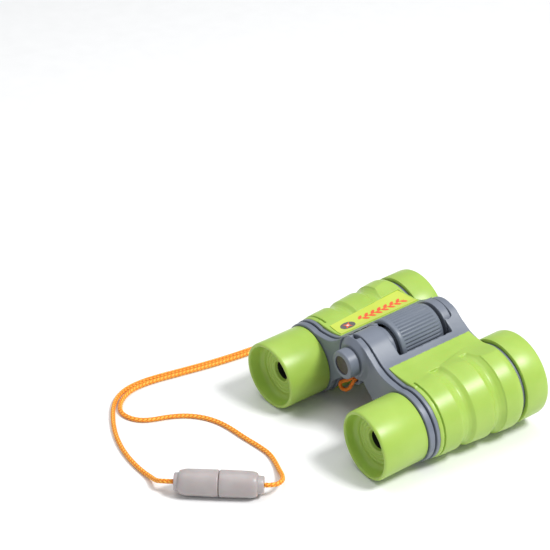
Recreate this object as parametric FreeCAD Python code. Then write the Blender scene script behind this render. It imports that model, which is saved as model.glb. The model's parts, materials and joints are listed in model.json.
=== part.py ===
import FreeCAD, Part
import math
import os

# Toy binoculars, 4 x 30: two straight barrels that fold about a central hinge, a centre
# focusing wheel that slides both eyepieces, and a limp neck lanyard with a breakaway clasp.
#
# The pieces are drawn in the barrels' own frame: X to the right, Y along the barrels towards
# the objectives, with the eyecup rims at Y 0, and Z up from the plane of the barrel axes.
# They are then stood on the table, where the wider objective ends lift the barrels a little.

V = FreeCAD.Vector

# ---- driving dimensions, in mm ----
BARREL_X = 32.6            # half the distance between the eyepieces
HINGE_Z = 16.0             # hinge above the barrel axes
HOOD_R = 19.0              # outside of the objective hood
CUP_R = 15.0               # outside of the eyecup
CUP_REST = 1.8             # the cup rests on the table this far from its rim
CREST_R = 19.4             # widest part of the armour
CREST_Y = 65.0             # where the armour is widest
CUP_END = 21.2             # inner end of the eyecup
ARM_Y = (21.5, 24.3)       # bridge arms that carry the eyepieces
HOUSE_Y = (24.9, 70.4)     # barrel housings
ARMOUR_Y = (26.6, 69.6)    # rubber armour on the housings
HOOD_Y = (70.9, 82.8)      # objective hoods
HUB_R = 10.0               # knuckles of the central hinge
INNER_HUB_R = 8.8          # the left half's knuckles beside the wheel
WHEEL_R = 11.2             # over the ribs of the focus wheel
WHEEL_Y = (38.2, 61.0)
LIP_Y = 40.4               # the wheel's plain lip ends, its ribs start
POCKET_Y = (34.8, 62.9)    # window that the wheel turns in
WINDOW_R = 13.6            # the window's wall round the hinge
INNER_Y = (35.0, 37.2)     # left knuckle in the near end of the window
FAR_SPLIT = 66.9           # left knuckle ends, right knuckle starts
KNUCKLE_GAP = 0.6          # round the other half's knuckles
PANEL_Z = 17.4             # flat top of the armour
PANEL_X = (16.1, 27.4)     # inner edge of the armour, and where the finger valleys stop
PIVOT_R = 5.0              # hinge bush and pin
TUBE_R = 13.0              # sliding eyepiece tube
SPINDLE_R = 2.5
WASHER_R = 7.0
THREAD_R = 3.0
LENS_R = 15.7              # objective lens
CORD_D = 2.0               # lanyard cord
LOOP_D = 1.6               # hitch loop
FIT = 0.05                 # radial clearance of a running fit
GAP = 0.1                  # side clearance between parts that turn on each other
LUG = (6.8, 26.4, 1.2)     # strap eye on the left half: across, along and up from the axes
LUG_WIDE = 2.2
LUG_R = 3.4
LUG_HOLE = 1.9
CLASP_LONG = 36.0
CLASP_R = 5.5
CLASP_AT = (8.6, -95.2)    # its middle on the table
CLASP_TURN = -39.56        # degrees from the barrels' direction
RIBS = 44                  # ribs around the focus wheel
RIB_DEPTH = 0.7
NUT_Y = (44.0, 56.0)       # brass nut in the wheel

os.makedirs("parts", exist_ok=True)


# ---- helpers ----
def rod(radius, y0, y1, x=0.0, z=HINGE_Z):
    """A round bar along Y."""
    return Part.makeCylinder(radius, y1 - y0, V(x, y0, z), V(0, 1, 0))


def tube(outer, inner, y0, y1, x=0.0, z=HINGE_Z):
    return rod(outer, y0, y1, x, z).cut(rod(inner, y0 - 1, y1 + 1, x, z))


def turned(outline, x=0.0, z=HINGE_Z):
    """Turn a closed outline of (radius, y) points about an axis along Y."""
    wire = Part.makePolygon([V(x + r, y, z) for r, y in outline + outline[:1]])
    return Part.Face(wire).revolve(V(x, 0, z), V(0, 1, 0), 360)


def turned_curve(curve, back, x=0.0, z=0.0):
    """Turn the area between a smooth curve of (radius, y) points and a straight bore."""
    spline = Part.BSplineCurve()
    spline.interpolate([V(x + r, y, z) for r, y in curve])
    ends = [V(x + curve[-1][0], curve[-1][1], z), V(x + back, curve[-1][1], z),
            V(x + back, curve[0][1], z), V(x + curve[0][0], curve[0][1], z)]
    wire = Part.Wire([spline.toShape()] + Part.makePolygon(ends).Edges)
    return Part.Face(wire).revolve(V(x, 0, z), V(0, 1, 0), 360)


def slab(outline, y0, y1):
    """A plate of even thickness along Y, cut to an outline of (x, z) points."""
    wire = Part.makePolygon([V(x, y0, z) for x, z in outline + outline[:1]])
    return Part.Face(wire).extrude(V(0, y1 - y0, 0))


def block(x0, x1, y0, y1, z0, z1):
    return Part.makeBox(x1 - x0, y1 - y0, z1 - z0, V(x0, y0, z0))


def round_edges(shape, radius, wanted):
    """Round the edges whose middle passes the test, if the shape allows it."""
    edges = [e for e in shape.Edges if wanted(e)]
    return shape.makeFillet(radius, edges)


def ring_edge(y, radius, x, z=0.0):
    """A test for full circles of a given radius at a given place along a barrel."""
    def test(edge):
        curve = edge.Curve
        return (isinstance(curve, Part.Circle) and abs(curve.Radius - radius) < 0.01
                and abs(curve.Center.y - y) < 0.01 and abs(curve.Center.x - x) < 0.01)
    return test


def mirrored(shape, side):
    return shape if side > 0 else shape.mirror(V(0, 0, 0), V(1, 0, 0))


def web(top, bottom, y0, y1):
    """The arm between hinge and barrel: a smooth hollow curve on top, straight below."""
    spline = Part.BSplineCurve()
    spline.interpolate([V(x, y0, z) for x, z in top])
    back = [top[-1]] + bottom + [(0.0, HINGE_Z), top[0]]
    wire = Part.Wire([spline.toShape()] + Part.makePolygon([V(x, y0, z) for x, z in back]).Edges)
    return Part.Face(wire).extrude(V(0, y1 - y0, 0))


# ---- one half of the body: right side drawn, left side mirrored ----
WEB_TOP = [(4.1, 25.1), (6.3, 24.2), (8.9, 22.2), (12.4, 19.6), (16.1, 17.5), (19.5, 16.4),
           (24.0, 15.7), (28.0, 15.5)]
WEB_BOTTOM = [(28.0, 0.0), (17.8, -5.2), (10.6, 0.8), (4.8, 6.9)]


SEAT = [(PANEL_X[0], 15.9), (PANEL_X[0], 21.0), (30.0, 21.0), (30.0, 14.7)]


def core():
    """The housing as a full body, before it is bored and slotted."""
    body = turned([(0, HOUSE_Y[0]), (16.2, HOUSE_Y[0]), (16.2, ARMOUR_Y[0]), (14.9, ARMOUR_Y[0]),
                   (17.0, 68.0), (17.0, ARMOUR_Y[1]), (17.4, ARMOUR_Y[1]), (17.4, HOUSE_Y[1]),
                   (0, HOUSE_Y[1])], BARREL_X, 0)
    # the armour's flat top is let into the arm
    return body.fuse(web(WEB_TOP, WEB_BOTTOM, *HOUSE_Y).cut(slab(SEAT, *ARMOUR_Y)))


def housing(side):
    """Gray shell of one barrel with its hinge knuckles and its half of the wheel's window."""
    if side > 0:
        knuckles = ((HUB_R, HOUSE_Y[0], POCKET_Y[0] - GAP), (HUB_R, FAR_SPLIT + GAP, HOUSE_Y[1] + 0.4))
    else:
        knuckles = ((INNER_HUB_R, *INNER_Y), (HUB_R, POCKET_Y[1], FAR_SPLIT - GAP))
    # clear of the wheel and of the other half's knuckles
    body = core().cut(rod(WINDOW_R, *POCKET_Y))
    body = body.cut(rod(HUB_R + KNUCKLE_GAP, HOUSE_Y[0] - 1, HOUSE_Y[1] + 1))
    neck = web(WEB_TOP, WEB_BOTTOM, *HOUSE_Y)
    for radius, y0, y1 in knuckles:
        knuckle = rod(radius, y0, y1)
        if y1 > HOUSE_Y[1]:
            knuckle = round_edges(knuckle, 1.6, ring_edge(y1, HUB_R, 0))
        out = WINDOW_R if radius < HUB_R else HUB_R
        link = neck.common(rod(out + 1.0, y0, min(y1, HOUSE_Y[1])))
        body = body.fuse(knuckle).fuse(link)
    bore = PIVOT_R + (FIT if side > 0 else 0)
    body = body.cut(rod(bore, HOUSE_Y[0] - 1, HOUSE_Y[1] + 2))
    # sleeve that the hood and the objective sit on
    body = body.fuse(turned([(15.0, HOUSE_Y[1] - 1), (17.0, HOUSE_Y[1] - 1), (17.0, 79.0),
                             (15.0, 79.0)], BARREL_X, 0))
    if side < 0:
        # strap eye under the hinge
        eye = block(LUG[0] - LUG_R, LUG[0] + LUG_R, LUG[1], LUG[1] + LUG_WIDE, LUG[2], 7.0)
        eye = eye.fuse(rod(LUG_R, LUG[1], LUG[1] + LUG_WIDE, LUG[0], LUG[2]))
        eye = eye.cut(rod(LUG_HOLE, 20, 40, LUG[0], LUG[2])).cut(rod(HUB_R + 0.1, 20, 60))
        body = body.fuse(eye)
    inside = turned([(0, HOUSE_Y[0] - 1), (TUBE_R + 0.3, HOUSE_Y[0] - 1), (TUBE_R + 0.3, 48.0),
                     (13.6, 50.0), (13.6, 52.0), (14.2, 52.0), (15.0, 70.9), (LENS_R, 70.9),
                     (LENS_R, 80.0), (0, 80.0)], BARREL_X, 0)
    return mirrored(body.cut(inside).removeSplitter(), side)


# the armour's crests are cut down beside its flat top
CAP = [(PANEL_X[0], PANEL_Z + 0.3), (19.5, 17.0), (24.0, 16.8), (27.4, 17.2), (38.0, 19.5),
       (38.0, 30.0), (PANEL_X[0], 30.0)]


def armour(side):
    """Green rubber skin with three crests and two finger valleys round the outer side."""
    skin = turned_curve([(16.2, ARMOUR_Y[0]), (16.6, 28.2), (16.9, 31.0), (17.15, 36.0),
                         (17.6, 44.0), (18.2, 51.0), (18.7, 57.0), (19.1, 61.5), (CREST_R, CREST_Y),
                         (19.2, 67.6), (18.3, 69.0), (17.4, ARMOUR_Y[1])], 5.0, BARREL_X, 0)
    panel = slab([(PANEL_X[0], 6.0), (PANEL_X[0], PANEL_Z + 0.3), (19.5, 17.0), (24.0, 16.7),
                  (28.0, 16.7), (BARREL_X, 16.9), (BARREL_X, 6.0)], *ARMOUR_Y)
    skin = skin.fuse(panel).cut(slab(CAP, *ARMOUR_Y))
    # valleys: a sharp shoulder towards the objective, an easy slope towards the eye
    for low, start, deepest, end in ((16.1, 37.2, 41.4, 44.2), (17.1, 53.2, 56.6, 59.6)):
        cutter = turned([(25, start - 0.6), (low + 1.25, start), (low + 0.25, deepest - 2.0),
                         (low, deepest), (low + 0.4, deepest + 1.3), (low + 1.45, end), (25, end + 0.5)],
                        BARREL_X, 0)
        skin = skin.cut(cutter.cut(block(0, PANEL_X[1], 20, 80, -1, 40)))
    # narrow groove behind the front lip
    groove = turned([(25, 28.2), (15.6, 28.3), (15.6, 29.0), (25, 29.3)], BARREL_X, 0)
    skin = skin.cut(groove.cut(block(0, PANEL_X[1] + 2, 20, 80, -1, 40)))
    # step line in front of the objective end
    step = turned([(25, 66.6), (CREST_R - 0.35, 66.6), (CREST_R - 0.35, 66.9), (25, 66.9)], BARREL_X, 0)
    skin = skin.cut(step)
    skin = skin.cut(block(0, 22.0, 20, 80, -40, 13.0)).cut(block(0, PANEL_X[0], 20, 80, -40, 40))
    skin = skin.cut(core()).cut(rod(14.9, 20, 80, BARREL_X, 0))
    skin = max(skin.Solids, key=lambda s: s.Volume)
    return mirrored(skin.removeSplitter(), side)


def eyecup(side):
    """Soft cup, its rim slanted so that the temple side stands nearer the eye."""
    cup = turned([(CUP_R, -2.0), (CUP_R, CUP_END), (TUBE_R, CUP_END), (TUBE_R, 7.4), (4.0, 7.4),
                  (4.0, 6.4), (5.4, 6.2), (5.6, 5.8), (6.9, 5.8), (7.1, 6.2), (8.3, 6.1), (8.5, 5.7),
                  (9.8, 5.6), (10.0, 6.0), (11.6, 6.0), (12.7, 4.6), (13.2, -2.0)], BARREL_X, 0)
    slant = Part.makeBox(60, 10, 60, V(-30, -10, -30))
    slant.rotate(V(0, 0, 0), V(0, 0, 1), -3.0)
    slant.translate(V(BARREL_X, 0, 0))
    cup = cup.cut(slant)
    rim = [e for e in cup.Edges if e.BoundBox.YMax < 1.2]
    cup = cup.makeFillet(0.85, rim)
    cup = round_edges(cup, 0.5, ring_edge(CUP_END, CUP_R, BARREL_X))
    return mirrored(cup, side)


def hood(side):
    body = turned([(17.0, HOOD_Y[0]), (HOOD_R, HOOD_Y[0]), (HOOD_R, HOOD_Y[1]), (16.6, HOOD_Y[1]),
                   (16.2, 79.3), (17.0, 79.3)], BARREL_X, 0)
    body = round_edges(body, 1.5, ring_edge(HOOD_Y[1], HOOD_R, BARREL_X))
    body = round_edges(body, 0.6, ring_edge(HOOD_Y[1], 16.6, BARREL_X))
    body = round_edges(body, 0.5, ring_edge(HOOD_Y[0], HOOD_R, BARREL_X))
    return mirrored(body, side)


def lens_shape(radius, rim, bulges):
    """A lens from a disc and two spheres; a negative bulge hollows the face."""
    y0, y1 = rim[0] - max(bulges[0], 0), rim[1] + max(bulges[1], 0)
    lens = rod(radius, y0, y1, BARREL_X, 0)
    for face, out, bulge in ((rim[0], -1, bulges[0]), (rim[1], 1, bulges[1])):
        depth = abs(bulge)
        ball_r = (radius ** 2 + depth ** 2) / (2 * depth)
        crown = face + out * bulge
        inward = -out if bulge > 0 else out
        ball = Part.makeSphere(ball_r, V(BARREL_X, crown + inward * ball_r, 0), V(0, 1, 0))
        lens = lens.common(ball) if bulge > 0 else lens.cut(ball)
    return lens


def objective_lens(side):
    return mirrored(lens_shape(LENS_R, (72.4, 74.0), (1.1, 1.3)), side)


def lens_retainer(side):
    """Black ring that holds the objective in its sleeve, with two key notches."""
    ring = tube(LENS_R, 14.3, 75.6, 77.8, BARREL_X, 0)
    ring = ring.cut(rod(15.0, 77.2, 78.0, BARREL_X, 0))
    ring = ring.fuse(tube(LENS_R, 15.0, 74.15, 75.6, BARREL_X, 0))
    notch = block(BARREL_X - 18, BARREL_X + 18, 76.8, 79, -1.0, 1.0)
    return mirrored(ring.cut(notch).removeSplitter(), side)


def baffle(side):
    """Black diaphragm that keeps stray light out of the eyepiece."""
    ring = turned([(14.15, 52.0), (14.15, 53.2), (9.5, 53.2), (9.1, 52.0)], BARREL_X, 0)
    return mirrored(ring, side)


def eye_tube(side):
    body = turned([(4.4, 7.4), (TUBE_R, 7.4), (TUBE_R, 46.0), (11.4, 46.0), (11.4, 9.4),
                   (4.4, 9.4)], BARREL_X, 0)
    return mirrored(body, side)


def eye_lens(side):
    return mirrored(lens_shape(6.5, (9.5, 13.0), (-1.1, -1.1)), side)


def eye_lens_ring(side):
    return mirrored(turned([(6.5, 9.4), (11.4, 9.4), (11.4, 12.4), (10.4, 14.4), (6.5, 14.4)],
                           BARREL_X, 0), side)


ARM_TOP = [(4.1, 24.9), (6.3, 24.0), (8.9, 22.0), (12.4, 19.3), (16.1, 17.0), (19.5, 15.9),
           (24.0, 15.3), (28.0, 15.1)]
ARM_BOTTOM = [(28.0, 0.0), (18.0, -4.6), (10.9, 1.2), (5.0, 7.2)]
ARM_BACK = 22.4            # where the left arm's eye starts, inside the right arm's hub


def bridge_arm(side):
    """Arm from the spindle to one eyepiece; the left arm's eye sits inside the right arm's hub."""
    ring = rod(15.8, ARM_Y[0], ARM_Y[1], BARREL_X, 0)
    ring = round_edges(ring, 0.4, ring_edge(ARM_Y[1], 15.8, BARREL_X))
    arm = ring.fuse(web(ARM_TOP, ARM_BOTTOM, *ARM_Y))
    arm = arm.cut(rod(HUB_R + 0.3, ARM_Y[0] - 1, ARM_Y[1] + 1))
    neck = web(ARM_TOP, ARM_BOTTOM, *ARM_Y)
    if side > 0:
        hub = turned([(0, 19.8), (7.2, 19.8), (HUB_R - 0.1, ARM_Y[0] + 0.4), (HUB_R - 0.1, ARM_Y[1]),
                      (0, ARM_Y[1])])
        hub = hub.fuse(neck.common(rod(HUB_R + 1, *ARM_Y)))
        hub = hub.cut(rod(7.6, ARM_BACK - GAP, 30))
        # window for the left arm, wide enough for the whole fold
        window = rod(30, ARM_BACK - GAP, 30).common(block(-40, 0.35, 20, 30, -40, 60))
        arm = arm.fuse(hub).cut(window).cut(rod(SPINDLE_R + FIT, 10, 30))
    else:
        eye = rod(7.3, ARM_BACK, ARM_Y[1])
        link = neck.common(rod(HUB_R + 1, ARM_BACK, ARM_Y[1]))
        arm = arm.fuse(eye).fuse(link).cut(rod(SPINDLE_R, 10, 30))
    arm = arm.cut(rod(TUBE_R, 20, 30, BARREL_X, 0)).removeSplitter()
    return mirrored(arm, side)


# ---- the centre line: hinge, focus wheel and spindle ----
def focus_wheel():
    """Ribbed drum with a plain lip towards the eye and a chamfer towards the objectives."""
    points = []
    step = 2 * math.pi / RIBS
    for i in range(RIBS):
        for share, radius in ((0.0, WHEEL_R - 0.1), (0.55, WHEEL_R - 0.1),
                              (0.67, WHEEL_R - RIB_DEPTH), (0.88, WHEEL_R - RIB_DEPTH)):
            angle = (i + share) * step
            points.append((radius * math.cos(angle), HINGE_Z + radius * math.sin(angle)))
    y0, y1 = WHEEL_Y
    taper = turned([(0, y0), (WHEEL_R, y0), (WHEEL_R, y1 - 3.2), (WHEEL_R - 1.2, y1), (0, y1)])
    lip = round_edges(rod(WHEEL_R, y0, LIP_Y), 0.9, ring_edge(y0, WHEEL_R, 0))
    wheel = slab(points, LIP_Y, y1).common(taper).fuse(lip)
    wheel = wheel.cut(tube(9.2, 7.2, y0 - 1, NUT_Y[0])).cut(rod(5.5, NUT_Y[0], y1 + 1))
    return wheel.cut(rod(THREAD_R + 0.3, y0 - 1, y1 + 1))


def end_cap():
    body = turned([(0.9, 16.4), (4.2, 16.4), (4.2, 14.6), (6.3, 14.6), (6.3, 18.9), (5.9, 19.0),
                   (5.9, 19.7), (SPINDLE_R, 19.7), (SPINDLE_R, 17.4), (0.9, 17.4)])
    return round_edges(body, 0.8, ring_edge(14.6, 6.3, 0))


def spindle():
    """Focus spindle: its threaded end works in the wheel's nut."""
    body = rod(SPINDLE_R, 17.4, 43.8).fuse(rod(THREAD_R, 43.8, 58.0))
    return round_edges(body, 0.4, ring_edge(58.0, THREAD_R, 0)).cut(rod(0.9, 15.0, 20.5))


def spindle_screw():
    """Cross-head screw that holds the end cap on the spindle, under the bright disc."""
    screw = rod(2.2, 15.6, 16.4).fuse(rod(0.9, 16.4, 20.5))
    for wide, high in ((1.5, 0.25), (0.25, 1.5)):
        screw = screw.cut(block(-wide, wide, 15.0, 16.0, HINGE_Z - high, HINGE_Z + high))
    return screw


PLATE_PLAN = [(PANEL_X[0], 27.4), (25.9, 28.3), (29.4, 68.0), (PANEL_X[0], 68.7)]
PLATE_X = PANEL_X[0] + 0.6      # the armour leaves a narrow rim beside the plate


def plate_outline(top):
    """The plate's slanted plan, from its bed in the armour up to this top line."""
    bed = [(30.0, 16.2), (24.0, 16.2), (19.5, 16.5), (PLATE_X, 17.0)]
    plan = Part.makePolygon([V(x, y, 10) for x, y in PLATE_PLAN + PLATE_PLAN[:1]])
    return slab(top + bed, 27.2, 68.9).common(Part.Face(plan).extrude(V(0, 0, 30)))


def name_plate():
    """Thin printed plate let into the flat top of the left barrel."""
    plate = plate_outline([(PLATE_X, PANEL_Z + 0.45), (19.5, 17.2), (24.0, 17.0), (30.0, 17.1)])
    return mirrored(plate.cut(core()), -1)


# ---- standing on the table ----
TILT = math.atan2(CREST_R - CUP_R, CREST_Y - CUP_REST)    # rise of the barrels towards the objectives
MIDDLE = 41.3              # the table's origin: this far along the barrels, under the hinge


def stood(shape):
    """From the barrels' frame to the table: tilted, lifted and centred."""
    lift = CUP_R / math.cos(TILT) - CUP_REST * math.tan(TILT)
    shape = shape.copy()
    shape.rotate(V(0, 0, 0), V(1, 0, 0), math.degrees(TILT))
    shape.translate(V(0, -MIDDLE, lift))
    return shape


# ---- lanyard, in the table's frame ----
def cord(route, diameter, name):
    """A limp cord: straight runs joined by arcs as large as the runs allow."""
    points = [V(*p) for p in route]
    edges, start, radii = [], points[0], []
    for before, corner, after in zip(points, points[1:], points[2:]):
        back, ahead = (before - corner), (after - corner)
        reach = 0.45 * min(back.Length, ahead.Length)
        back.normalize()
        ahead.normalize()
        half_turn = (math.pi - back.getAngle(ahead)) / 2
        radius = reach / math.tan(half_turn)
        inward = (back + ahead).normalize()
        middle = corner + inward * (math.hypot(radius, reach) - radius)
        first, last = corner + back * reach, corner + ahead * reach
        edges += [Part.LineSegment(start, first).toShape(),
                  Part.Arc(first, middle, last).toShape()]
        start = last
        radii.append(round(radius, 1))
    edges.append(Part.LineSegment(start, points[-1]).toShape())
    path = Part.Wire(edges)
    ring = Part.Wire(Part.makeCircle(diameter / 2, points[0], points[1] - points[0]))
    shape = path.makePipeShell([ring], True, False)
    section = math.pi * diameter ** 2 / 4
    print(name, "length", round(path.Length, 1), "smallest radius", min(radii), "radii", radii)
    print(name, "volume over section times length", round(shape.Volume / (section * path.Length), 4))
    return shape


# outer strand: from the knot, round behind the left barrel, to the clasp's socket
STRAND_A = [(-5.65, -9.65, 18.33), (-5.65, -5.4, 18.62), (-6.7, -0.6, 15.6), (-7.6, 4.0, 10.6),
            (-8.1, 8.6, 5.6), (-8.2, 13.6, 2.3), (-7.2, 20.2, 1.1), (-5.0, 28.5, 1.05), (-4.6, 38.0, 1.05),
            (-7.6, 46.6, 1.05), (-14.4, 52.6, 1.05), (-23.6, 55.4, 1.05), (-34.0, 55.8, 1.05),
            (-44.4, 54.4, 1.05), (-54.0, 50.0, 1.05), (-61.4, 43.0, 1.05), (-66.4, 34.2, 1.05),
            (-69.0, 23.6, 1.05), (-71.0, 12.6, 1.05), (-72.6, 1.4, 1.05), (-74.0, -10.2, 1.05),
            (-74.5, -22.0, 1.05), (-74.9, -33.5, 1.05), (-76.0, -45.0, 1.05), (-77.6, -56.4, 1.05),
            (-79.4, -67.6, 1.05), (-80.0, -76.6, 1.05), (-78.9, -84.6, 1.05), (-75.4, -91.2, 1.05),
            (-69.8, -96.6, 1.05), (-62.6, -101.2, 1.05), (-54.6, -105.4, 1.05), (-46.4, -108.6, 1.05),
            (-37.6, -110.9, 1.05), (-29.2, -112.0, 1.05), (-21.6, -112.2, 1.1), (-15.4, -112.0, 1.7),
            (-10.2, -112.9, 3.3), (-5.45, -112.2, 5.5), (-2.87, -109.08, 5.5)]
# inner strand: beside the first one, then away to the clasp's plug
STRAND_B = [(-7.95, -9.65, 18.33), (-7.95, -5.4, 18.62), (-9.1, -0.6, 15.6), (-10.1, 4.0, 10.6),
            (-10.6, 8.6, 5.6), (-10.7, 13.6, 2.3), (-9.7, 20.2, 1.1), (-7.5, 28.5, 1.05), (-7.1, 37.2, 1.05),
            (-9.5, 44.8, 1.05), (-15.4, 50.2, 1.05), (-24.0, 52.9, 1.05), (-34.0, 53.3, 1.05),
            (-43.6, 51.9, 1.05), (-52.4, 47.9, 1.05), (-59.4, 41.3, 1.05), (-64.0, 33.2, 1.05),
            (-66.5, 23.0, 1.05), (-68.5, 12.2, 1.05), (-70.1, 1.1, 1.05), (-71.5, -10.4, 1.05),
            (-72.0, -22.1, 1.05), (-72.4, -33.6, 1.05), (-73.5, -45.2, 1.05), (-75.1, -56.8, 1.05),
            (-76.8, -67.8, 1.05), (-77.4, -76.2, 1.05), (-76.5, -83.4, 1.05), (-73.4, -89.4, 1.05),
            (-69.0, -93.9, 1.05), (-64.0, -96.4, 1.05), (-58.6, -95.8, 1.05), (-54.0, -92.8, 1.05),
            (-51.4, -88.0, 1.05), (-49.6, -81.8, 1.05), (-46.4, -75.6, 1.05), (-41.4, -70.4, 1.05),
            (-34.6, -66.8, 1.05), (-26.6, -65.2, 1.05), (-17.8, -64.6, 1.05), (-9.4, -63.4, 1.05),
            (-2.0, -62.9, 1.05), (4.4, -64.6, 1.1), (10.4, -67.0, 1.6), (16.0, -69.4, 3.0),
            (20.9, -72.8, 4.6), (22.94, -77.85, 5.5), (20.07, -81.32, 5.5)]
# bight of the hitch, from the knot through the strap eye and back
BIGHT = [(-6.0, -12.85, 18.1), (-6.0, -16.05, 17.85), (-7.9, -16.0, 14.05), (-10.0, -15.75, 10.9),
         (-12.6, -15.95, 9.05), (-15.0, -16.35, 9.25), (-15.4, -16.55, 11.8), (-13.2, -16.15, 13.45),
         (-10.4, -15.65, 15.3), (-7.7, -16.05, 17.85), (-7.7, -12.85, 18.1)]


def clasp_half(outline):
    """One half of the clasp, lying on the table between the two cord ends."""
    shape = turned(outline, 0, 0)
    shape.rotate(V(0, 0, 0), V(0, 0, 1), CLASP_TURN)
    shape.translate(V(*CLASP_AT, CLASP_R))
    return shape


def clasp_socket():
    half = CLASP_LONG / 2
    return clasp_half([(0, -half), (3.7, -half), (3.8, 2.0 - half), (4.6, 2.3 - half),
                       (5.1, 4.0 - half), (CLASP_R, -5.0), (CLASP_R, -0.1), (3.1, -0.1), (3.1, -11.0),
                       (0, -11.0)])


def clasp_plug():
    half = CLASP_LONG / 2
    return clasp_half([(0, half), (3.6, half), (3.8, half - 2.4), (4.7, half - 2.6),
                       (5.2, half - 3.6), (CLASP_R, 4.5), (CLASP_R, 0.1), (3.0, 0.1), (3.0, -7.5),
                       (2.2, -10.0), (0, -10.0)])


def knot():
    """The hitch's knot behind the strap eye."""
    y0 = LUG[1] + LUG_WIDE
    return turned([(0, y0), (1.7, y0), (2.4, y0 + 0.8), (2.5, y0 + 2.2), (2.2, y0 + 3.2),
                   (0, y0 + 3.2)], -LUG[0], LUG[2])


SIDES = {"left": -1, "right": 1}
PAIRS = {"housing": housing, "armour": armour, "eyecup": eyecup, "hood": hood,
         "objective_lens": objective_lens, "lens_retainer": lens_retainer, "baffle": baffle,
         "eye_tube": eye_tube, "eye_lens": eye_lens, "eye_lens_ring": eye_lens_ring,
         "bridge_arm": bridge_arm}

parts = {}
for side_name, side in SIDES.items():
    for piece_name, make in PAIRS.items():
        parts[side_name + "_" + piece_name] = make(side)

parts["name_plate"] = name_plate()
room = mirrored(plate_outline([(PLATE_X, 25.0), (30.0, 25.0)]), -1)
parts["left_armour"] = parts["left_armour"].cut(room)
parts["front_hinge_bush"] = tube(PIVOT_R, SPINDLE_R + FIT, HOUSE_Y[0], INNER_Y[1])
parts["rear_hinge_pin"] = rod(PIVOT_R, POCKET_Y[1], HOUSE_Y[1] + 0.2)
parts["rear_pin_cap"] = turned([(0, 70.9), (5.6, 70.9), (5.2, 71.5), (0, 71.7)])
parts["front_thrust_washer"] = tube(WASHER_R, SPINDLE_R + FIT, INNER_Y[1], WHEEL_Y[0] - GAP)
parts["rear_thrust_washer"] = rod(WASHER_R, WHEEL_Y[1] + GAP, POCKET_Y[1])
parts["focus_wheel"] = focus_wheel()
parts["focus_nut"] = tube(5.5, THREAD_R + FIT, *NUT_Y)
parts["focus_spindle"] = spindle()
parts["spindle_screw"] = spindle_screw()
parts["end_cap"] = end_cap()
parts["end_cap_disc"] = rod(4.15, 15.0, 15.4)
parts["lanyard_knot"] = knot()
parts = {name: stood(shape) for name, shape in parts.items()}

parts["lanyard_bight"] = cord(BIGHT, LOOP_D, "bight")
parts["lanyard_strand_a"] = cord(STRAND_A, CORD_D, "strand a")
parts["lanyard_strand_b"] = cord(STRAND_B, CORD_D, "strand b")
parts["clasp_socket"] = clasp_socket()
parts["clasp_plug"] = clasp_plug()

for name, shape in parts.items():
    shape.exportStep("parts/" + name + ".step")
    if not shape.isValid() or len(shape.Solids) != 1:
        print("check", name, shape.isValid(), len(shape.Solids))
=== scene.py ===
# A child's 4 x 30 binoculars in green rubber and grey plastic, standing on a table with
# their orange braided lanyard laid out beside them. Every size below is in metres; MM
# turns millimetres into metres.
import json
import math
import bpy
from mathutils import Matrix, Vector

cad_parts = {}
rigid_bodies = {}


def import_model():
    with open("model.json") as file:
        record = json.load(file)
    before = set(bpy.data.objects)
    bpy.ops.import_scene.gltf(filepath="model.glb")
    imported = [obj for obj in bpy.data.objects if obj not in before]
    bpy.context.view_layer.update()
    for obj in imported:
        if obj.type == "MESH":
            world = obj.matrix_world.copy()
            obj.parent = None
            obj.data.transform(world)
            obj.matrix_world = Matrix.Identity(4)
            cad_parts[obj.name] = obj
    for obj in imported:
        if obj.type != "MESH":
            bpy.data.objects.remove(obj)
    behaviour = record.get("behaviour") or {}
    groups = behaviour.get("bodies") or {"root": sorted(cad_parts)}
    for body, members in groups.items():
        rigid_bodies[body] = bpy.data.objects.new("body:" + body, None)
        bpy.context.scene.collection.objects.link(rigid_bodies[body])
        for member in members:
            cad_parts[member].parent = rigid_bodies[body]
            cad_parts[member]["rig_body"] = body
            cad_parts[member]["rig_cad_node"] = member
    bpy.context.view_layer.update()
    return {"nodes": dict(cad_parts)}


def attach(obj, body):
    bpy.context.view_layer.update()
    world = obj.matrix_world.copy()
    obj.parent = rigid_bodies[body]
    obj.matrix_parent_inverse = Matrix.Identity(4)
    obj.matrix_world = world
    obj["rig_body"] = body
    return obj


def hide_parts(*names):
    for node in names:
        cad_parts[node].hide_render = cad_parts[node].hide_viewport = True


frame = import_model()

nodes = frame["nodes"]

# ---------------------------------------------------------------- barrel housings
# Two grey ABS shells, moulded with their hinge knuckles, the sleeve for the objective and,
# on the left one, the strap eye. The mould leaves a small radius on every edge and a fine
# spark-eroded grain on every face.
MM = 0.001
MOST_TRIANGLES = 185000     # a moulded piece is thinned to this


def pick(*pieces):
    """Selects just these pieces, the first one active."""
    if bpy.context.object and bpy.context.object.mode != "OBJECT":
        bpy.ops.object.mode_set(mode="OBJECT")
    bpy.ops.object.select_all(action="DESELECT")
    for piece in pieces:
        piece.hide_set(False)
        piece.select_set(True)
    bpy.context.view_layer.objects.active = pieces[0]


def work(piece, kind, **settings):
    """Adds a modifier with these settings and applies it."""
    pick(piece)
    bpy.ops.object.modifier_add(type=kind)
    modifier = piece.modifiers[-1]
    for key, value in settings.items():
        setattr(modifier, key, value)
    bpy.ops.object.modifier_apply(modifier=modifier.name)


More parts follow.
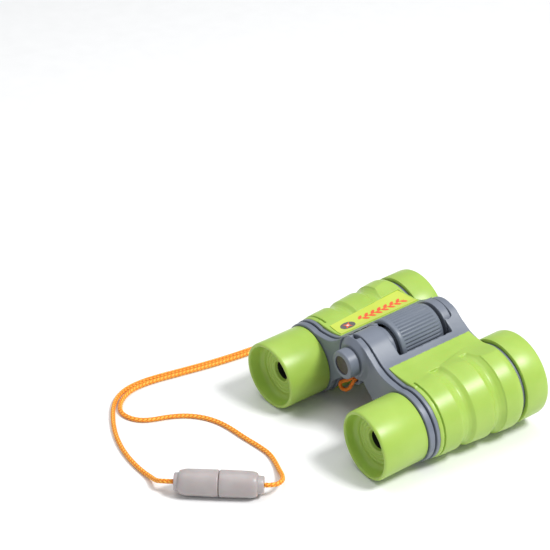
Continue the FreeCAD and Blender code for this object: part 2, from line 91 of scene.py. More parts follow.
def moulded(node, name, voxel, rounds):
    """A copy of a CAD piece with a mould's small radii on its edges, in place of the node.
    voxel is in millimetres, and rounds is how often the radii are smoothed."""
    pick(nodes[node])
    bpy.ops.object.duplicate()
    piece = bpy.context.object
    body = piece["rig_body"]
    piece.name = piece.data.name = name
    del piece["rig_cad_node"]
    bpy.ops.object.mode_set(mode="EDIT")
    bpy.ops.mesh.select_all(action="SELECT")
    bpy.ops.mesh.remove_doubles(threshold=0.002 * MM)
    bpy.ops.object.mode_set(mode="OBJECT")
    work(piece, "REMESH", mode="VOXEL", voxel_size=voxel * MM, adaptivity=0.0)
    work(piece, "SMOOTH", factor=0.5, iterations=rounds)
    if 2 * len(piece.data.polygons) > MOST_TRIANGLES:
        work(piece, "DECIMATE", ratio=MOST_TRIANGLES / (2 * len(piece.data.polygons)))
    bpy.ops.object.shade_smooth()
    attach(piece, body)
    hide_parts(node)
    return piece


def put(tree, kind, inputs=(), **settings):
    """Adds a shader node; each input is a value or the output that feeds it."""
    node = tree.nodes.new("ShaderNode" + kind)
    for key, value in settings.items():
        setattr(node, key, value)
    for socket, value in dict(inputs).items():
        if isinstance(value, bpy.types.NodeSocket):
            tree.links.new(value, node.inputs[socket])
        else:
            node.inputs[socket].default_value = value
    return node


def group(name, inputs, outputs):
    """An empty node group with these float inputs and outputs."""
    made = bpy.data.node_groups.new(name, "ShaderNodeTree")
    for label, value in inputs.items():
        socket = made.interface.new_socket(label, in_out="INPUT", socket_type="NodeSocketFloat")
        socket.default_value = value
    for label in outputs:
        made.interface.new_socket(label, in_out="OUTPUT", socket_type="NodeSocketFloat")
    return made, made.nodes.new("NodeGroupInput").outputs, made.nodes.new("NodeGroupOutput").inputs


# grain: a fine skin left by the mould, and slow patches where the gloss and colour drift
grain, given, result = group("Moulded grain", {"Fine per mm": 6.0, "Patches per mm": 0.08},
                             ["Grain", "Patches"])
place = put(grain, "TexCoord")
fine_scale = put(grain, "Math", {0: given["Fine per mm"], 1: 1000.0}, operation="MULTIPLY")
patch_scale = put(grain, "Math", {0: given["Patches per mm"], 1: 1000.0}, operation="MULTIPLY")
fine = put(grain, "TexNoise", {"Vector": place.outputs["Object"], "Scale": fine_scale.outputs[0],
                               "Detail": 3.0, "Roughness": 0.6})
patches = put(grain, "TexNoise", {"Vector": place.outputs["Object"],
                                  "Scale": patch_scale.outputs[0], "Detail": 2.0})
grain.links.new(fine.outputs["Fac"], result["Grain"])
grain.links.new(patches.outputs["Fac"], result["Patches"])


def finish(name, dark, light, rough, fine_per_mm, depth, patches_per_mm=0.08, **surface):
    """A moulded finish: colour and gloss drift between two values, under a fine grain."""
    made = bpy.data.materials.new(name)
    made.use_nodes = True
    tree = made.node_tree
    shader = tree.nodes["Principled BSDF"]
    skin = put(tree, "Group", node_tree=grain)
    skin.inputs["Fine per mm"].default_value = fine_per_mm
    skin.inputs["Patches per mm"].default_value = patches_per_mm
    drift = put(tree, "MapRange", {"Value": skin.outputs["Patches"], "From Min": 0.3,
                                   "From Max": 0.7})
    colour = put(tree, "Mix", {"Factor": drift.outputs["Result"]}, data_type="RGBA")
    colour.inputs[6].default_value = dark
    colour.inputs[7].default_value = light
    gloss = put(tree, "MapRange", {"Value": skin.outputs["Grain"], "From Min": 0.25,
                                   "From Max": 0.75, "To Min": rough[0], "To Max": rough[1]})
    bump = put(tree, "Bump", {"Strength": 1.0, "Distance": depth * MM,
                              "Height": skin.outputs["Grain"]})
    tree.links.new(colour.outputs[2], shader.inputs["Base Color"])
    tree.links.new(gloss.outputs["Result"], shader.inputs["Roughness"])
    tree.links.new(bump.outputs["Normal"], shader.inputs["Normal"])
    for socket, value in surface.items():
        shader.inputs[socket.replace("_", " ")].default_value = value
    return made


def paint(piece, material):
    piece.data.materials.clear()
    piece.data.materials.append(material)


grey_plastic = finish("moulded grey plastic", (0.142, 0.162, 0.206, 1), (0.172, 0.194, 0.240, 1),
                      (0.34, 0.46), 5.0, 0.012)
for side in ("left", "right"):
    shell = moulded(side + "_housing", side + "_shell", 0.29, 1)
    paint(shell, grey_plastic)

# ---------------------------------------------------------------- objectives and baffles
# A coated glass objective in each sleeve, held by a black screwed ring with two key notches,
# and a black diaphragm further in. They are turned and cemented parts, clean and plain.


def in_place(node, material):
    """A CAD node keeps its shape and takes a finish."""
    pick(nodes[node])
    paint(nodes[node], material)


black_plastic = finish("flat black plastic", (0.006, 0.006, 0.007, 1), (0.012, 0.012, 0.013, 1),
                       (0.5, 0.7), 8.0, 0.01)
glass = bpy.data.materials.new("coated glass")
glass.use_nodes = True
tree = glass.node_tree
shader = tree.nodes["Principled BSDF"]
shader.inputs["Transmission Weight"].default_value = 1.0
shader.inputs["IOR"].default_value = 1.5
shader.inputs["Coat Weight"].default_value = 0.6
shader.inputs["Coat Roughness"].default_value = 0.02
skin = put(tree, "Group", node_tree=grain)
skin.inputs["Fine per mm"].default_value = 0.4
haze = put(tree, "MapRange", {"Value": skin.outputs["Grain"], "To Min": 0.0, "To Max": 0.03})
tree.links.new(haze.outputs["Result"], shader.inputs["Roughness"])
film = put(tree, "Mix", {"Factor": skin.outputs["Patches"]}, data_type="RGBA")
film.inputs[6].default_value = (0.86, 0.95, 0.93, 1)
film.inputs[7].default_value = (0.90, 0.90, 0.97, 1)
tree.links.new(film.outputs[2], shader.inputs["Base Color"])
for side in ("left", "right"):
    in_place(side + "_objective_lens", glass)
    in_place(side + "_lens_retainer", black_plastic)
    in_place(side + "_baffle", black_plastic)

# ---------------------------------------------------------------- rubber armour
# Green thermoplastic rubber moulded over each housing, with three crests and two valleys for
# the fingers. It is thick and soft, so its edges are well rounded.
green_rubber = finish("green rubber", (0.320, 0.485, 0.070, 1), (0.360, 0.525, 0.090, 1),
                      (0.30, 0.42), 7.0, 0.010, Subsurface_Weight=0.06, Subsurface_Scale=0.002)
for side in ("left", "right"):
    grip = moulded(side + "_armour", side + "_grip", 0.27, 1)
    paint(grip, green_rubber)

# ---------------------------------------------------------------- objective hoods
# A rubber ring pushed over each sleeve, rounded at its front edge and bored wide for the lens.
BARREL_X = 32.6
TILT = math.atan2(19.4 - 15.0, 65.0 - 1.8)
LIFT = 15.0 / math.cos(TILT) - 1.8 * math.tan(TILT)
stand = (Matrix.Translation((0, -41.3 * MM, LIFT * MM)) @ Matrix.Rotation(TILT, 4, "X"))


def settle(piece, matrix):
    """Moves a finished piece's mesh to its place, and leaves its object at the origin."""
    pick(piece)
    piece.matrix_world = matrix
    bpy.ops.object.transform_apply(location=True, rotation=True, scale=True)


def turned(name, rings, sides=96, angle=40):
    """A turned piece along Y: a round blank drawn out from ring to ring, each (along, radius)."""
    if bpy.context.object and bpy.context.object.mode != "OBJECT":
        bpy.ops.object.mode_set(mode="OBJECT")
    bpy.ops.object.select_all(action="DESELECT")
    along, radius = rings[0]
    bpy.ops.mesh.primitive_circle_add(vertices=sides, radius=radius * MM, fill_type="NGON",
                                      location=(0, 0, along * MM))
    piece = bpy.context.object
    piece.name = piece.data.name = name
    bpy.ops.object.transform_apply(location=True, rotation=True, scale=True)
    bpy.ops.object.mode_set(mode="EDIT")
    bpy.ops.mesh.select_all(action="SELECT")
    for new_along, new_radius in rings[1:]:
        bpy.ops.mesh.extrude_region_move(
            TRANSFORM_OT_translate={"value": (0, 0, (new_along - along) * MM)})
        k = new_radius / radius
        bpy.ops.transform.resize(value=(k, k, 1), center_override=(0, 0, new_along * MM))
        along, radius = new_along, new_radius
    bpy.ops.mesh.select_all(action="SELECT")
    bpy.ops.mesh.normals_make_consistent(inside=False)
    bpy.ops.object.mode_set(mode="OBJECT")
    settle(piece, Matrix.Rotation(-math.pi / 2, 4, "X"))
    bpy.ops.object.shade_smooth_by_angle(angle=math.radians(angle))
    return piece


def choose(piece, wanted, kind="FACE"):
    """Opens the piece for editing with just the faces or vertices that are wanted."""
    pick(piece)
    bpy.ops.object.mode_set(mode="EDIT")
    bpy.ops.mesh.select_mode(type=kind)
    bpy.ops.mesh.select_all(action="DESELECT")
    bpy.ops.object.mode_set(mode="OBJECT")
    for part in piece.data.polygons if kind == "FACE" else piece.data.vertices:
        part.select = wanted(part)
    bpy.ops.object.mode_set(mode="EDIT")


def bore(piece):
    """Joins the blank's two end faces into a hole through the piece."""
    choose(piece, lambda face: len(face.vertices) > 4)
    bpy.ops.mesh.bridge_edge_loops()
    bpy.ops.mesh.select_all(action="SELECT")
    bpy.ops.mesh.normals_make_consistent(inside=False)
    bpy.ops.object.mode_set(mode="OBJECT")


HOOD = [(79.3, 17.0), (71.1, 17.0), (70.9, 17.3), (70.9, 18.5), (71.05, 18.85), (71.4, 19.0),
        (81.2, 19.0), (81.9, 18.85), (82.4, 18.5), (82.7, 18.0), (82.8, 17.4), (82.75, 17.0),
        (82.5, 16.7), (82.1, 16.55), (79.6, 16.2), (79.3, 16.4)]
for side, across in (("left", -1), ("right", 1)):
    ring = turned(side + "_lens_hood", HOOD, 128)
    bore(ring)
    settle(ring, stand @ Matrix.Translation((across * BARREL_X * MM, 0, 0)))
    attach(ring, side + "_half")
    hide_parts(side + "_hood")
    paint(ring, green_rubber)

# ---------------------------------------------------------------- eyepieces
# Each sliding tube carries a hollow-faced lens behind a small pupil, and a soft rubber cup
# with fine stepped rings on its floor. The cup's rim slants towards the temple.
CUP = [(21.2, 13.0), (21.2, 14.6), (21.1, 14.85), (20.8, 15.0), (4.2, 15.0), (1.1, 15.0),
       (0.55, 14.88), (0.2, 14.6), (0.0, 14.2), (0.05, 13.8), (0.35, 13.5), (0.9, 13.35),
       (3.4, 13.1), (4.4, 12.9), (5.1, 12.5), (5.6, 11.9), (5.85, 11.2), (5.9, 10.5),
       (5.72, 10.3), (5.68, 9.7), (5.85, 9.5), (5.92, 8.9), (5.72, 8.7), (5.68, 8.1),
       (5.88, 7.9), (5.95, 7.3), (5.75, 7.1), (5.72, 6.4), (5.95, 6.2), (6.1, 5.6),
       (5.95, 5.4), (5.95, 4.8), (6.15, 4.5), (6.5, 4.35), (6.9, 4.3), (7.2, 4.1), (7.35, 4.05),
       (7.38, 12.6), (7.6, 13.0)]
for side, across in (("left", -1), ("right", 1)):
    cup = turned(side + "_cup", CUP, 128)
    bore(cup)
    choose(cup, lambda vertex: vertex.co.y < 2.5 * MM, "VERT")
    bpy.ops.transform.rotate(value=math.radians(3.0 * across), orient_axis="Z",
                             center_override=(0, 0, 0))
    bpy.ops.object.mode_set(mode="OBJECT")
    settle(cup, stand @ Matrix.Translation((across * BARREL_X * MM, 0, 0)))
    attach(cup, "bridge" if side == "left" else "bridge_right")
    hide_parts(side + "_eyecup")
    paint(cup, green_rubber)
    in_place(side + "_eye_tube", black_plastic)
    in_place(side + "_eye_lens", glass)
    in_place(side + "_eye_lens_ring", black_plastic)

# ---------------------------------------------------------------- bridge arms
# The two arms that slide both eyepieces along, in the same grey ABS. The left arm's eye sits
# inside the right arm's conical hub, and both turn on the spindle.
for side in ("left", "right"):
    arm = moulded(side + "_bridge_arm", side + "_arm", 0.3, 2)
    paint(arm, grey_plastic)

# ---------------------------------------------------------------- focus wheel and spindle
# A moulded drum with 44 sharp ribs between a plain lip and a chamfered end, on a steel
# spindle between black acetal washers.
wheel_plastic = finish("ribbed wheel plastic", (0.135, 0.158, 0.198, 1), (0.160, 0.184, 0.226, 1),
                       (0.32, 0.44), 6.0, 0.010)
RIBS = 44
COLUMNS = 6     # vertices round the drum to each rib, the last two of them in its groove
GROOVE = 0.925  # radius in the grooves, as a share of the radius over the ribs
HINGE_Z = 16.0
DRUM = [(38.2, 3.3), (38.2, 7.0), (38.35, 7.2), (44.0, 7.2), (44.0, 9.2), (38.35, 9.2), (38.2, 9.4),
        (38.2, 10.4), (38.27, 10.7), (38.5, 10.98), (38.8, 11.15), (39.2, 11.2), (39.9, 11.2),
        (40.25, 11.17), (40.4, 11.1), (40.45, 11.1), (57.9, 11.1), (59.4, 10.5), (60.85, 10.02),
        (61.0, 9.85), (61.0, 5.6), (60.9, 5.5), (44.0, 5.5), (44.0, 3.3)]
wheel = turned("ribbed_wheel", DRUM, RIBS * COLUMNS, 32)
bore(wheel)
choose(wheel, lambda vertex: 40.42 * MM < vertex.co.y < 58.0 * MM
       and math.hypot(vertex.co.x, vertex.co.z) > 11.0 * MM
       and round(math.atan2(vertex.co.z, vertex.co.x) * RIBS * COLUMNS / math.tau) % COLUMNS > 3,
       "VERT")
bpy.ops.transform.resize(value=(GROOVE, 1, GROOVE), center_override=(0, 0, 0))
bpy.ops.object.mode_set(mode="OBJECT")
settle(wheel, stand @ Matrix.Translation((0, 0, HINGE_Z * MM)))
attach(wheel, "focus_wheel")
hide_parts("focus_wheel")
paint(wheel, wheel_plastic)
brass = finish("turned brass", (0.60, 0.42, 0.17, 1), (0.74, 0.55, 0.26, 1), (0.22, 0.34), 12.0,
               0.003, Metallic=1.0)
in_place("focus_nut", brass)
steel = finish("turned steel", (0.50, 0.51, 0.53, 1), (0.60, 0.61, 0.63, 1), (0.20, 0.32), 12.0,
               0.003, Metallic=1.0)
in_place("focus_spindle", steel)
in_place("spindle_screw", steel)
acetal = finish("black acetal", (0.020, 0.021, 0.024, 1), (0.032, 0.033, 0.037, 1), (0.30, 0.42), 6.0,
                0.006)
in_place("front_thrust_washer", acetal)
in_place("rear_thrust_washer", acetal)
in_place("front_hinge_bush", steel)
in_place("rear_hinge_pin", steel)

# ---------------------------------------------------------------- caps on the hinge line
# A grey ring on the spindle's end frames a dark polished disc that hides the screw. A low
# domed cap closes the other end of the hinge.
in_place("end_cap", grey_plastic)
dark_mirror = finish("dark polished disc", (0.030, 0.021, 0.019, 1), (0.060, 0.045, 0.042, 1),
                     (0.16, 0.30), 2.5, 0.02, 0.25, Specular_IOR_Level=0.25)
in_place("end_cap_disc", dark_mirror)
in_place("rear_pin_cap", grey_plastic)

# ---------------------------------------------------------------- printed plate
# A thin yellow-green plate let into the top of the left barrel, pad-printed with a small
# compass star and a sprig of leaves.
plate_lacquer = finish("lacquered plate", (0.500, 0.610, 0.062, 1), (0.545, 0.650, 0.078, 1),
                       (0.26, 0.36), 5.0, 0.006, Coat_Weight=0.3)
in_place("name_plate", plate_lacquer)


ABOVE_PLATE = 18.6      # height in the barrels' frame from which ink drops on the plate


def flat(name, corners, half_long, half_wide):
    """A flat oval facing up, with its length along Y."""
    bpy.ops.object.select_all(action="DESELECT")
    bpy.ops.mesh.primitive_circle_add(vertices=corners, radius=MM, fill_type="TRIFAN")
    piece = bpy.context.object
    piece.name = piece.data.name = name
    piece.scale = (half_wide, half_long, 1)
    bpy.ops.object.transform_apply(location=True, rotation=True, scale=True)
    return piece


def print_on_plate(piece, x, y, turn, ink_depth):
    """Lays a flat shape on the plate at this place in the barrels' frame, as a film of ink."""
    choose(piece, lambda face: True)
    bpy.ops.mesh.subdivide(number_cuts=2)
    bpy.ops.object.mode_set(mode="OBJECT")
    settle(piece, stand @ Matrix.Translation((x * MM, y * MM, ABOVE_PLATE * MM))
           @ Matrix.Rotation(math.radians(turn), 4, "Z"))
    work(piece, "SHRINKWRAP", target=nodes["name_plate"], wrap_method="PROJECT", use_project_z=True,
         use_negative_direction=True, use_positive_direction=False)
    work(piece, "SOLIDIFY", thickness=2 * ink_depth * MM, offset=0.0)


BADGE_X, BADGE_Y = -21.0, 34.2
badge = flat("badge_field", 40, 3.6, 2.6)
print_on_plate(badge, BADGE_X, BADGE_Y, 0, 0.05)
star = flat("badge_star", 16, 2.9, 2.2)
choose(star, lambda vertex: 0.1 * MM < vertex.co.length and min(abs(vertex.co.x), abs(vertex.co.y))
       > 0.1 * MM, "VERT")
bpy.ops.transform.resize(value=(0.42, 0.42, 1), center_override=(0, 0, 0))
bpy.ops.object.mode_set(mode="OBJECT")
print_on_plate(star, BADGE_X, BADGE_Y, 45, 0.08)
centre = flat("badge_centre", 12, 0.62, 0.55)
choose(centre, lambda vertex: vertex.co.y > 0.5 * MM, "VERT")
bpy.ops.transform.resize(value=(0.8, 1, 1), center_override=(0, 0, 0))
bpy.ops.object.mode_set(mode="OBJECT")
print_on_plate(centre, BADGE_X, BADGE_Y, 0, 0.11)
leaf = flat("leaf", 18, 1.55, 0.74)
choose(leaf, lambda vertex: abs(vertex.co.y) > 1.4 * MM, "VERT")
bpy.ops.transform.resize(value=(0.3, 1.12, 1), center_override=(0, 0, 0))
bpy.ops.object.mode_set(mode="OBJECT")
SPRIG_X, FIRST_LEAF_Y, LEAF_STEP = -21.6, 42.0, 1.72
LEAVES, LEAF_TURN, LEAF_ASIDE = 14, 38, 1.15
sprig = []
for i in range(LEAVES):
    pick(leaf)
    bpy.ops.object.duplicate()
    copy = bpy.context.object
    hand = 1 if i % 2 else -1
    print_on_plate(copy, SPRIG_X + LEAF_ASIDE * hand, FIRST_LEAF_Y + LEAF_STEP * i,
                   -LEAF_TURN * hand, 0.06)
    sprig.append(copy)
stem = flat("stem", 12, 12.6, 0.24)
choose(stem, lambda vertex: abs(vertex.co.y) < 7.0 * MM, "VERT")
bpy.ops.transform.resize(value=(1.2, 1.6, 1), center_override=(0, 0, 0))
bpy.ops.object.mode_set(mode="OBJECT")
print_on_plate(stem, SPRIG_X, 53.0, 0, 0.04)
pick(stem, *sprig)
bpy.ops.object.join()
stem.name = stem.data.name = "leaf_sprig"
pick(leaf)
bpy.ops.object.delete()
red_ink = finish("orange red ink", (0.72, 0.095, 0.030, 1), (0.80, 0.125, 0.045, 1), (0.30, 0.42), 8.0,
                 0.003)
dark_ink = finish("dark grey ink", (0.085, 0.080, 0.078, 1), (0.125, 0.115, 0.110, 1), (0.30, 0.42),
                  8.0, 0.003)
pale_ink = finish("pale ink", (0.62, 0.62, 0.55, 1), (0.70, 0.70, 0.64, 1), (0.30, 0.42), 8.0, 0.003)
for piece, ink in ((badge, dark_ink), (star, red_ink), (centre, pale_ink), (stem, red_ink)):
    paint(piece, ink)
    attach(piece, "left_half")

# ---------------------------------------------------------------- breakaway clasp
# Two halves of a translucent warm-grey barrel that pull apart under load. Each has a narrow
# collar round its cord, a chamfered shoulder and a shallow mark on top, and they meet at a
# fine seam.
clasp_plastic = finish("translucent grey clasp", (0.375, 0.335, 0.330, 1), (0.43, 0.39, 0.385, 1),
                       (0.28, 0.40), 4.0, 0.010, 0.12, Subsurface_Weight=0.25,
                       Subsurface_Scale=0.003)
CLASP_PLACE = (Matrix.Translation((8.6 * MM, -95.2 * MM, 5.5 * MM))
               @ Matrix.Rotation(math.radians(-39.56), 4, "Z"))
SOCKET = [(-16.4, 1.2), (-17.75, 1.2), (-18.0, 1.45), (-18.0, 3.3), (-17.9, 3.55), (-17.65, 3.7),
          (-16.5, 3.75), (-16.2, 3.85), (-16.1, 4.2), (-15.9, 4.55), (-15.5, 4.8), (-14.4, 5.1),
          (-13.7, 5.28), (-12.6, 5.4), (-5.0, 5.5), (-0.75, 5.5), (-0.4, 5.42), (-0.15, 5.2),
          (-0.1, 4.9), (-0.1, 3.3), (-0.35, 3.1), (-11.0, 3.1)]
PLUG = [(16.4, 1.2), (17.75, 1.2), (18.0, 1.45), (18.0, 3.2), (17.9, 3.45), (17.65, 3.6),
        (16.0, 3.68), (15.6, 3.78), (15.5, 4.3), (15.3, 4.65), (14.9, 4.9), (14.4, 5.1),
        (13.5, 5.26), (12.2, 5.38), (4.5, 5.5), (0.75, 5.5), (0.4, 5.42), (0.15, 5.2), (0.1, 4.9),
        (0.1, 3.2), (-0.1, 3.0), (-7.5, 3.0), (-10.0, 2.2)]
clasp = []
for node, outline in (("clasp_socket", SOCKET), ("clasp_plug", PLUG)):
    half = turned(node + "_barrel", outline, 72, 50)
    choose(half, lambda face: abs(face.center.y) > 1.5 * MM and abs(face.center.y) < 10.0 * MM
           and face.center.z > 5.3 * MM and abs(face.center.x) < 0.7 * MM)
    bpy.ops.mesh.inset(thickness=0.3 * MM, depth=-0.12 * MM)
    bpy.ops.object.mode_set(mode="OBJECT")
    settle(half, CLASP_PLACE)
    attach(half, "left_half")
    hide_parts(node)
    paint(half, clasp_plastic)
    clasp.append(half)

# ---------------------------------------------------------------- hitch knot
# Three tight wraps of the orange cord draw both strands together behind the strap eye. The
# wraps press into each other, so the middle one stands out.
deep_yarn = finish("deep orange yarn", (0.80, 0.185, 0.003, 1), (0.88, 0.235, 0.006, 1), (0.5, 0.7),
                   9.0, 0.02, 0.5, Sheen_Weight=0.06)
WRAPS = [(0.0, 0.8), (0.05, 1.5), (0.2, 2.0), (0.45, 2.28), (0.65, 2.32), (0.9, 2.18), (1.07, 1.92),
         (1.25, 2.2), (1.5, 2.46), (1.7, 2.46), (1.95, 2.22), (2.12, 1.96), (2.3, 2.2), (2.55, 2.36),
         (2.75, 2.3), (3.0, 1.98), (3.15, 1.5), (3.2, 0.8)]
knot = turned("wrapped_knot", WRAPS, 48, 60)
settle(knot, Matrix.Translation((-6.8 * MM, -12.85 * MM, 18.2 * MM)) @ Matrix.Rotation(TILT, 4, "X"))
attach(knot, "left_half")
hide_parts("lanyard_knot")
paint(knot, deep_yarn)

# ---------------------------------------------------------------- lanyard
# Two runs of soft braided cord, eight flat yarns round a core, four of them paler. They leave
# the hitch on the strap eye together, lie round behind the left barrel, and part by the clasp.
STRAND_A = [(-5.65, -9.65, 18.33), (-5.65, -5.4, 18.62), (-6.7, -0.6, 15.6), (-7.6, 4.0, 10.6),
            (-8.1, 8.6, 5.6), (-8.2, 13.6, 2.3), (-7.2, 20.2, 1.1), (-5.0, 28.5, 1.05), (-4.6, 38.0, 1.05),
            (-7.6, 46.6, 1.05), (-14.4, 52.6, 1.05), (-23.6, 55.4, 1.05), (-34.0, 55.8, 1.05),
            (-44.4, 54.4, 1.05), (-54.0, 50.0, 1.05), (-61.4, 43.0, 1.05), (-66.4, 34.2, 1.05),
            (-69.0, 23.6, 1.05), (-71.0, 12.6, 1.05), (-72.6, 1.4, 1.05), (-74.0, -10.2, 1.05),
            (-74.5, -22.0, 1.05), (-74.9, -33.5, 1.05), (-76.0, -45.0, 1.05), (-77.6, -56.4, 1.05),
            (-79.4, -67.6, 1.05), (-80.0, -76.6, 1.05), (-78.9, -84.6, 1.05), (-75.4, -91.2, 1.05),
            (-69.8, -96.6, 1.05), (-62.6, -101.2, 1.05), (-54.6, -105.4, 1.05), (-46.4, -108.6, 1.05),
            (-37.6, -110.9, 1.05), (-29.2, -112.0, 1.05), (-21.6, -112.2, 1.1), (-15.4, -112.0, 1.7),
            (-10.2, -112.9, 3.3), (-5.45, -112.2, 5.5), (-2.87, -109.08, 5.5)]
STRAND_B = [(-7.95, -9.65, 18.33), (-7.95, -5.4, 18.62), (-9.1, -0.6, 15.6), (-10.1, 4.0, 10.6),
            (-10.6, 8.6, 5.6), (-10.7, 13.6, 2.3), (-9.7, 20.2, 1.1), (-7.5, 28.5, 1.05), (-7.1, 37.2, 1.05),
            (-9.5, 44.8, 1.05), (-15.4, 50.2, 1.05), (-24.0, 52.9, 1.05), (-34.0, 53.3, 1.05),
            (-43.6, 51.9, 1.05), (-52.4, 47.9, 1.05), (-59.4, 41.3, 1.05), (-64.0, 33.2, 1.05),
            (-66.5, 23.0, 1.05), (-68.5, 12.2, 1.05), (-70.1, 1.1, 1.05), (-71.5, -10.4, 1.05),
            (-72.0, -22.1, 1.05), (-72.4, -33.6, 1.05), (-73.5, -45.2, 1.05), (-75.1, -56.8, 1.05),
            (-76.8, -67.8, 1.05), (-77.4, -76.2, 1.05), (-76.5, -83.4, 1.05), (-73.4, -89.4, 1.05),
            (-69.0, -93.9, 1.05), (-64.0, -96.4, 1.05), (-58.6, -95.8, 1.05), (-54.0, -92.8, 1.05),
            (-51.4, -88.0, 1.05), (-49.6, -81.8, 1.05), (-46.4, -75.6, 1.05), (-41.4, -70.4, 1.05),
            (-34.6, -66.8, 1.05), (-26.6, -65.2, 1.05), (-17.8, -64.6, 1.05), (-9.4, -63.4, 1.05),
            (-2.0, -62.9, 1.05), (4.4, -64.6, 1.1), (10.4, -67.0, 1.6), (16.0, -69.4, 3.0),
            (20.9, -72.8, 4.6), (22.94, -77.85, 5.5), (20.07, -81.32, 5.5)]
BIGHT = [(-6.0, -12.85, 18.1), (-6.0, -16.05, 17.85), (-7.9, -16.0, 14.05), (-10.0, -15.75, 10.9),
         (-12.6, -15.95, 9.05), (-15.0, -16.35, 9.25), (-15.4, -16.55, 11.8), (-13.2, -16.15, 13.45),
         (-10.4, -15.65, 15.3), (-7.7, -16.05, 17.85), (-7.7, -12.85, 18.1)]


def core(name, route, diameter):
    """The cord's core: one smooth spline along the route."""
    line = bpy.data.curves.new(name, "CURVE")
    line.dimensions = "3D"
    line.resolution_u = 12
    spline = line.splines.new("NURBS")
    spline.points.add(len(route) - 1)
    for point, (x, y, z) in zip(spline.points, route):
        point.co = (x * MM, y * MM, z * MM, 1)
    spline.order_u = 3
    spline.use_endpoint_u = True
    piece = bpy.data.objects.new(name, line)
    bpy.context.scene.collection.objects.link(piece)
    return piece


def steps_along(piece, spacing):
    """Even steps along the spline: (point, direction, sideways, distance)."""
    bpy.context.view_layer.update()
    mesh = bpy.data.meshes.new_from_object(piece)
    points = [v.co.copy() for v in mesh.vertices]
    bpy.data.meshes.remove(mesh)
    reach = [0.0]
    for a, b in zip(points, points[1:]):
        reach.append(reach[-1] + (b - a).length)
    count = int(reach[-1] / spacing)
    steps, k, sideways = [], 0, Vector((0.3, 0.1, 1.0))
    for i in range(count + 1):
        s = reach[-1] * i / count
        while k < len(points) - 2 and reach[k + 1] < s:
            k += 1
        way = points[k + 1] - points[k]
        here = points[k] + way * ((s - reach[k]) / way.length)
        way.normalize()
        sideways = (sideways - way * sideways.dot(way)).normalized()
        steps.append((here, way, sideways.copy(), s))
    return steps


def braid(name, piece, diameter, pale_hand, material_pale, material_deep):
    """Eight flat yarns, four each way round, passing over and under each other."""
    pitch, yarns = 3.6 * diameter, 4
    steps = steps_along(piece, pitch / 26)
    middle, wave = 0.385 * diameter, 0.030 * diameter
    section = [(0.20, 0.0), (0.13, 0.075), (-0.13, 0.075), (-0.20, 0.0), (-0.12, -0.05), (0.12, -0.05)]
    made = []
    for hand in (1, -1):
        points, faces = [], []
        for yarn in range(yarns):
            first = len(points)
            for i, (here, way, sideways, s) in enumerate(steps):
                turn = hand * 2 * math.pi * s / pitch + 2 * math.pi * yarn / yarns
                out = sideways * math.cos(turn) + way.cross(sideways) * math.sin(turn)
                along = (way * pitch + out.cross(way) * (-hand * 2 * math.pi * middle)).normalized()
                wide = out.cross(along)
                lift = middle + hand * wave * math.cos(4 * 2 * math.pi * s / pitch)
                for across, up in section:
                    points.append(here + out * (lift + up * diameter) + wide * (across * diameter))
            n = len(section)
            for i in range(len(steps) - 1):
                for j in range(n):
                    a, b = first + i * n + j, first + i * n + (j + 1) % n
                    faces.append((a, b, b + n, a + n))
            faces.append(tuple(first + j for j in reversed(range(n))))
            faces.append(tuple(first + (len(steps) - 1) * n + j for j in range(n)))
        mesh = bpy.data.meshes.new(name + ("_right_yarns" if hand > 0 else "_left_yarns"))
        mesh.from_pydata(points, [], faces)
        cover = bpy.data.objects.new(mesh.name, mesh)
        bpy.context.scene.collection.objects.link(cover)
        pick(cover)
        bpy.ops.object.mode_set(mode="EDIT")
        bpy.ops.mesh.select_all(action="SELECT")
        bpy.ops.mesh.normals_make_consistent(inside=False)
        bpy.ops.object.mode_set(mode="OBJECT")
        bpy.ops.object.shade_smooth()
        paint(cover, material_pale if hand == pale_hand else material_deep)
        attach(cover, "left_half")
        made.append(cover)
    return made


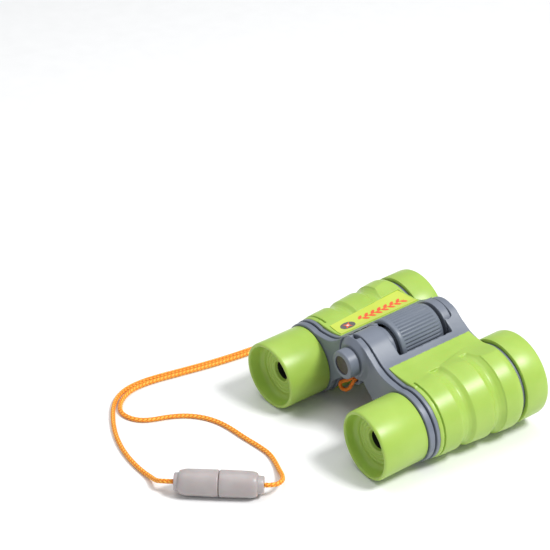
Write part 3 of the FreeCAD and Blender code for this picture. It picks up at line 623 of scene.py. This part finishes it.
pale_yarn = finish("pale orange yarn", (0.93, 0.44, 0.035, 1), (0.97, 0.54, 0.075, 1), (0.5, 0.7),
                   9.0, 0.02, 0.5, Sheen_Weight=0.06)
core_yarn = finish("core of the cord", (0.62, 0.145, 0.008, 1), (0.72, 0.185, 0.012, 1), (0.6, 0.8),
                   9.0, 0.02, 0.5)
for name, node, route, diameter, length, pale_hand, on_it in (
        ("outer_strand", "lanyard_strand_a", STRAND_A, 2.0, 340.0, 1, clasp[0]),
        ("inner_strand", "lanyard_strand_b", STRAND_B, 2.0, 374.0, -1, clasp[1]),
        ("hitch_loop", "lanyard_bight", BIGHT, 1.6, 30.7, 1, knot)):
    line = core(name, route, diameter)
    yarns = braid(name, line, diameter * MM, pale_hand, pale_yarn if diameter > 1.8 else deep_yarn,
                  deep_yarn)
    line.data.bevel_depth = 0.37 * diameter * MM
    line.data.bevel_resolution = 2
    line.data.use_fill_caps = True
    paint(line, core_yarn)
    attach(line, "left_half")
    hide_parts(node)

# ---------------------------------------------------------------- table, light and camera
# A plain white sweep under one soft key light from the right, a wide fill overhead and a
# pale surround.
white = finish("white sweep", (0.86, 0.86, 0.86, 1), (0.88, 0.88, 0.88, 1), (0.7, 0.8), 0.5, 0.001)
bpy.ops.object.select_all(action="DESELECT")
bpy.ops.mesh.primitive_plane_add(size=12, location=(0, 0, 0))
floor = bpy.context.object
floor.name = "floor"
paint(floor, white)

world = bpy.data.worlds.new("surround")
bpy.context.scene.world = world
world.use_nodes = True
world.node_tree.nodes["Background"].inputs["Color"].default_value = (0.96, 0.98, 1.0, 1)
world.node_tree.nodes["Background"].inputs["Strength"].default_value = 0.50


def softbox(name, position, size, power, colour=(1, 1, 1)):
    lamp = bpy.data.lights.new(name, "AREA")
    lamp.shape, lamp.size, lamp.energy, lamp.color = "SQUARE", size, power, colour
    holder = bpy.data.objects.new(name, lamp)
    holder.location = position
    holder.rotation_euler = (-Vector(position)).to_track_quat("-Z", "Y").to_euler()
    bpy.context.scene.collection.objects.link(holder)


softbox("key", (0.60, 0.32, 1.02), 0.30, 12.5)
softbox("overhead", (-0.3, -0.1, 1.2), 1.0, 5.0)

camera = bpy.data.objects.new("camera", bpy.data.cameras.new("camera"))
bpy.context.scene.collection.objects.link(camera)
camera.data.sensor_width = 36
camera.data.lens = 124.47
camera.location = (0.5261, -0.4400, 0.4429)
camera.rotation_euler = Vector((-0.7108, 0.5112, -0.4831)).to_track_quat("-Z", "Y").to_euler()
camera.data.clip_start, camera.data.clip_end = 0.01, 20
bpy.context.scene.camera = camera
bpy.context.scene.view_settings.view_transform = "Standard"
